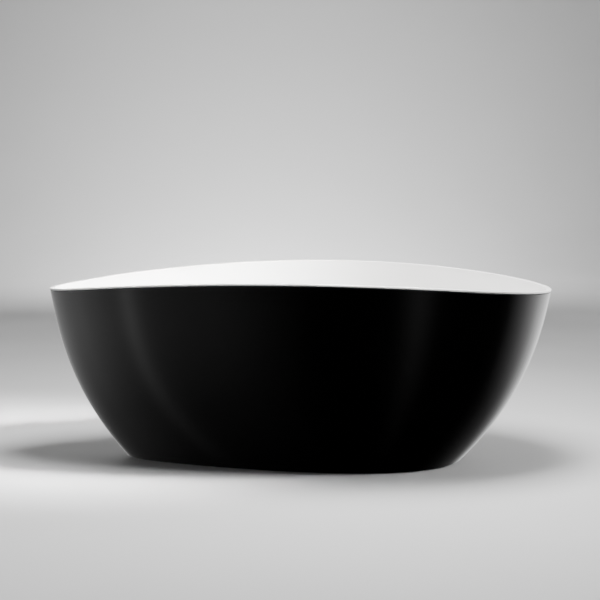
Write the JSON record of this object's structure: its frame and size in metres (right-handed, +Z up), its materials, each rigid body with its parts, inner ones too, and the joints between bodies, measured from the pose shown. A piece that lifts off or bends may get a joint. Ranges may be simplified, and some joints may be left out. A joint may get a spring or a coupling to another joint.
{
  "type": "freestanding bathtub",
  "caption": "Egg-shaped freestanding bathtub: white bowl with a saddle-shaped rim in a flared black skirt, on hidden levelling feet, with pop-up waste and overflow.",
  "frame": {"origin": "on the floor, under the middle of the tub's overall length and width", "axes": "+X along the length towards the wide end, +Y towards the back with the overflow, +Z up"},
  "size_m": [1.7, 0.7936, 0.642],
  "materials": {
    "white_acrylic": "polished white sanitary acrylic",
    "black_acrylic": "satin black acrylic",
    "black_rubber": "matt moulded rubber",
    "sealed_board": "resin-sealed chipboard",
    "zinc_steel": "zinc-plated steel",
    "chromed_brass": "polished chrome plate",
    "waste_plastic": "moulded black polypropylene",
    "grey_hose": "matt grey PVC hose"
  },
  "bodies": {
    "tub": {"inner_basin": "white_acrylic", "outer_shell": "black_acrylic", "rim_seal": "black_rubber", "base_board": "sealed_board", "frame_rail_front": "zinc_steel", "frame_rail_back": "zinc_steel", "cross_bar_left": "zinc_steel", "cross_bar_right": "zinc_steel", "frame_screw_1": "zinc_steel", "frame_screw_2": "zinc_steel", "frame_screw_3": "zinc_steel", "frame_screw_4": "zinc_steel", "foot_insert_1": "zinc_steel", "foot_lock_nut_1": "zinc_steel", "foot_insert_2": "zinc_steel", "foot_lock_nut_2": "zinc_steel", "foot_insert_3": "zinc_steel", "foot_lock_nut_3": "zinc_steel", "foot_insert_4": "zinc_steel", "foot_lock_nut_4": "zinc_steel", "drain_flange": "chromed_brass", "drain_gasket": "black_rubber", "waste_seal": "black_rubber", "waste_body": "waste_plastic", "waste_nut": "waste_plastic", "waste_pipe": "waste_plastic", "plug_spring": "zinc_steel", "overflow_cover": "chromed_brass", "overflow_bolt": "chromed_brass", "overflow_collar": "chromed_brass", "overflow_gasket": "black_rubber", "overflow_elbow": "waste_plastic", "overflow_hose": "grey_hose", "hose_clamp_upper": "zinc_steel", "hose_clamp_lower": "zinc_steel"},
    "plug": {"plug_cap": "chromed_brass", "plug_seal": "black_rubber", "plug_stem": "chromed_brass"},
    "foot_1_pad": {"foot_pad_1": "black_rubber"},
    "foot_1_stud": {"foot_stud_1": "zinc_steel"},
    "foot_2_pad": {"foot_pad_2": "black_rubber"},
    "foot_2_stud": {"foot_stud_2": "zinc_steel"},
    "foot_3_pad": {"foot_pad_3": "black_rubber"},
    "foot_3_stud": {"foot_stud_3": "zinc_steel"},
    "foot_4_pad": {"foot_pad_4": "black_rubber"},
    "foot_4_stud": {"foot_stud_4": "zinc_steel"}
  },
  "joints": [
    {"name": "plug_travel", "type": "slide", "parent": "tub", "child": "plug", "axis": [0, 0, 1], "range_m": [-0.009, 0], "stiffness_N_per_m": 400, "springref_m": 0.012, "deforming": ["plug_spring"]},
    {"name": "foot_1_travel", "type": "slide", "parent": "tub", "child": "foot_1_pad", "axis": [0, 0, 1], "range_m": [-0.009, 0.00225]},
    {"name": "foot_1_turn", "type": "hinge", "parent": "foot_1_pad", "child": "foot_1_stud", "pos_m": [-0.36, -0.1, 0.02], "axis": [0, 0, 1], "range_deg": [-2160, 540]},
    {"name": "foot_2_travel", "type": "slide", "parent": "tub", "child": "foot_2_pad", "axis": [0, 0, 1], "range_m": [-0.009, 0.00225]},
    {"name": "foot_2_turn", "type": "hinge", "parent": "foot_2_pad", "child": "foot_2_stud", "pos_m": [-0.36, 0.1, 0.02], "axis": [0, 0, 1], "range_deg": [-2160, 540]},
    {"name": "foot_3_travel", "type": "slide", "parent": "tub", "child": "foot_3_pad", "axis": [0, 0, 1], "range_m": [-0.009, 0.00225]},
    {"name": "foot_3_turn", "type": "hinge", "parent": "foot_3_pad", "child": "foot_3_stud", "pos_m": [0.38, -0.15, 0.02], "axis": [0, 0, 1], "range_deg": [-2160, 540]},
    {"name": "foot_4_travel", "type": "slide", "parent": "tub", "child": "foot_4_pad", "axis": [0, 0, 1], "range_m": [-0.009, 0.00225]},
    {"name": "foot_4_turn", "type": "hinge", "parent": "foot_4_pad", "child": "foot_4_stud", "pos_m": [0.38, 0.15, 0.02], "axis": [0, 0, 1], "range_deg": [-2160, 540]}
  ],
  "couplings": [
    {"joint": "foot_1_turn", "follows": "foot_1_travel", "rad_per_m": 4188.8},
    {"joint": "foot_2_turn", "follows": "foot_2_travel", "rad_per_m": 4188.8},
    {"joint": "foot_3_turn", "follows": "foot_3_travel", "rad_per_m": 4188.8},
    {"joint": "foot_4_turn", "follows": "foot_4_travel", "rad_per_m": 4188.8}
  ]
}
